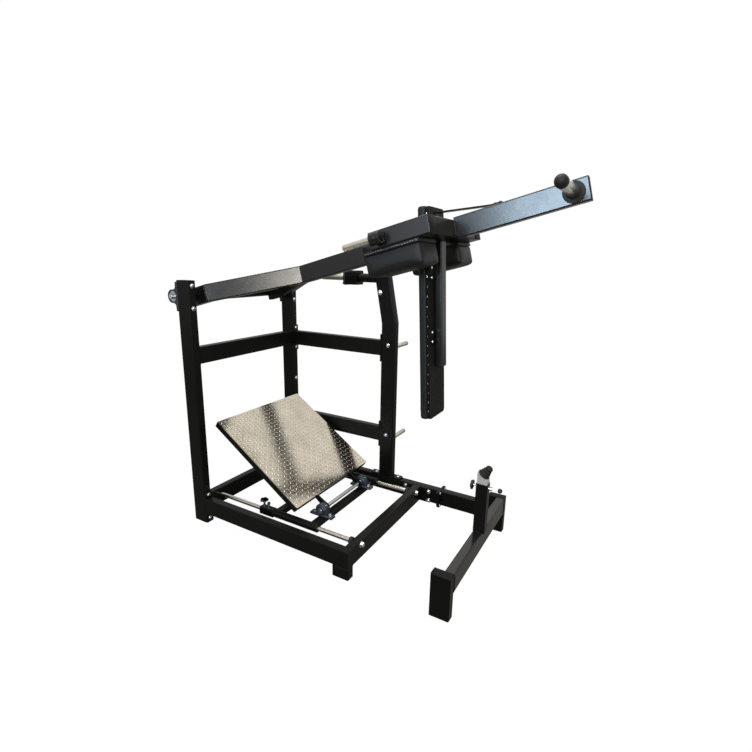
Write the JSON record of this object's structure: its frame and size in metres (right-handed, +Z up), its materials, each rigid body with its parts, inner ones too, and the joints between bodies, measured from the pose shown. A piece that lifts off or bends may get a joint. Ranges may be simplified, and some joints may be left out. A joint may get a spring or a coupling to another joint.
{
  "type": "pendulum squat machine",
  "caption": "Gym machine: a long padded beam swings on a high pivot over a tilted foot plate that slides on floor rails, with grips, a weight horn and a bumper stop.",
  "frame": {"origin": "centre of the near left post's foot, on the floor", "axes": "+X along the machine from the pivot end to the tail, +Y from the near side to the far side, +Z up"},
  "size_m": [2.1274, 1.145, 1.9486],
  "materials": {
    "black_powder_coat": "satin",
    "zinc_plate": "satin",
    "polished_rod": "polished",
    "blue_grey_casting": "satin",
    "black_vinyl": "matte",
    "black_plastic": "matte",
    "grey_rubber": "matte",
    "tread_plate": "textured",
    "pad_board": "matte"
  },
  "bodies": {
    "frame": {"near_left_post": "black_powder_coat", "far_left_post": "black_powder_coat", "far_right_post": "black_powder_coat", "upper_left_beam": "black_powder_coat", "base_left_rail": "black_powder_coat", "upper_far_beam": "black_powder_coat", "lower_far_beam": "black_powder_coat", "near_rail": "black_powder_coat", "far_rail_front": "black_powder_coat", "far_rail_rear": "black_powder_coat", "cross_rail": "black_powder_coat", "end_near_foot": "black_powder_coat", "end_far_foot": "black_powder_coat", "end_cross_tube": "black_powder_coat", "near_pivot_housing": "blue_grey_casting", "far_pivot_housing": "blue_grey_casting", "near_pivot_bearing": "zinc_plate", "far_pivot_bearing": "zinc_plate", "near_guide_rod": "polished_rod", "far_guide_rod": "polished_rod", "stop_post": "black_powder_coat", "lever_sleeve": "black_powder_coat"},
    "pendulum": {"pivot_shaft": "zinc_plate", "torque_tube": "black_powder_coat", "near_yoke_arm": "black_powder_coat", "far_yoke_arm": "black_powder_coat", "front_beam": "black_powder_coat", "near_fork_arm": "black_powder_coat", "far_fork_arm": "black_powder_coat", "near_side_box": "black_powder_coat", "far_side_box": "black_powder_coat", "rear_cross_tube": "black_powder_coat", "tail_beam": "black_powder_coat", "pad_column": "black_powder_coat", "strap_brace": "black_powder_coat", "back_pad_board": "pad_board", "back_pad": "black_vinyl", "near_shoulder_pad": "black_vinyl", "far_shoulder_pad": "black_vinyl", "near_hand_grip": "polished_rod", "far_hand_grip": "polished_rod", "weight_horn": "polished_rod"},
    "foot_carriage": {"carriage_front_bar": "black_powder_coat", "carriage_rear_bar": "black_powder_coat", "near_carriage_sleeve": "black_powder_coat", "far_carriage_sleeve": "black_powder_coat", "near_plate_pillow": "blue_grey_casting", "far_plate_pillow": "blue_grey_casting"},
    "foot_plate": {"plate_frame": "black_powder_coat", "tread_plate": "tread_plate", "plate_hinge_shaft": "zinc_plate"},
    "plate_prop": {"plate_prop": "black_powder_coat"},
    "carriage_knob": {"carriage_lock_knob": "black_plastic"},
    "carriage_pin": {"carriage_lock_pin": "black_plastic"},
    "stop_tube": {"stop_inner_tube": "zinc_plate", "stop_bumper": "grey_rubber"},
    "stop_tube_knob": {"stop_knob": "black_plastic"},
    "stop_tube_pin": {"stop_pin": "black_plastic"},
    "safety_lever": {"lever_shaft": "polished_rod", "lever_block": "black_powder_coat"}
  },
  "joints": [
    {"name": "pendulum_swing", "type": "hinge", "parent": "frame", "child": "pendulum", "pos_m": [-0.096, 0.433, 1.384], "axis": [0, 1, 0], "range_deg": [-6, 24]},
    {"name": "carriage_slide", "type": "slide", "parent": "frame", "child": "foot_carriage", "axis": [1, 0, 0], "range_m": [-0.25, 0.15]},
    {"name": "plate_tilt", "type": "hinge", "parent": "foot_carriage", "child": "foot_plate", "pos_m": [0.765, 0.433, 0.19], "axis": [0, 1, 0], "range_deg": [0, 20]},
    {"name": "plate_prop_swing", "type": "hinge", "parent": "foot_plate", "child": "plate_prop", "pos_m": [0.33225, 0.433, 0.42384], "axis": [0, 1, 0], "range_deg": [-15, 0]},
    {"name": "carriage_knob_turn", "type": "hinge", "parent": "foot_carriage", "child": "carriage_knob", "pos_m": [0.425, 0.1, 0.168], "axis": [0, 0, 1], "continuous": true},
    {"name": "carriage_pin_lift", "type": "slide", "parent": "foot_carriage", "child": "carriage_pin", "axis": [0, 0, 1], "range_m": [0, 0.008]},
    {"name": "stop_height", "type": "slide", "parent": "frame", "child": "stop_tube", "axis": [0, 0, 1], "range_m": [-0.015, 0.1]},
    {"name": "stop_knob_turn", "type": "hinge", "parent": "frame", "child": "stop_tube_knob", "pos_m": [1.602, 0.433, 0.475], "axis": [1, 0, 0], "continuous": true},
    {"name": "stop_pin_pull", "type": "slide", "parent": "frame", "child": "stop_tube_pin", "axis": [1, 0, 0], "range_m": [0, 0.012], "stiffness_N_per_m": 300, "springref_m": -0.01},
    {"name": "lever_turn", "type": "hinge", "parent": "frame", "child": "safety_lever", "pos_m": [0.66, 0.866, 1.49], "axis": [1, 0, 0], "range_deg": [0, 90]}
  ]
}
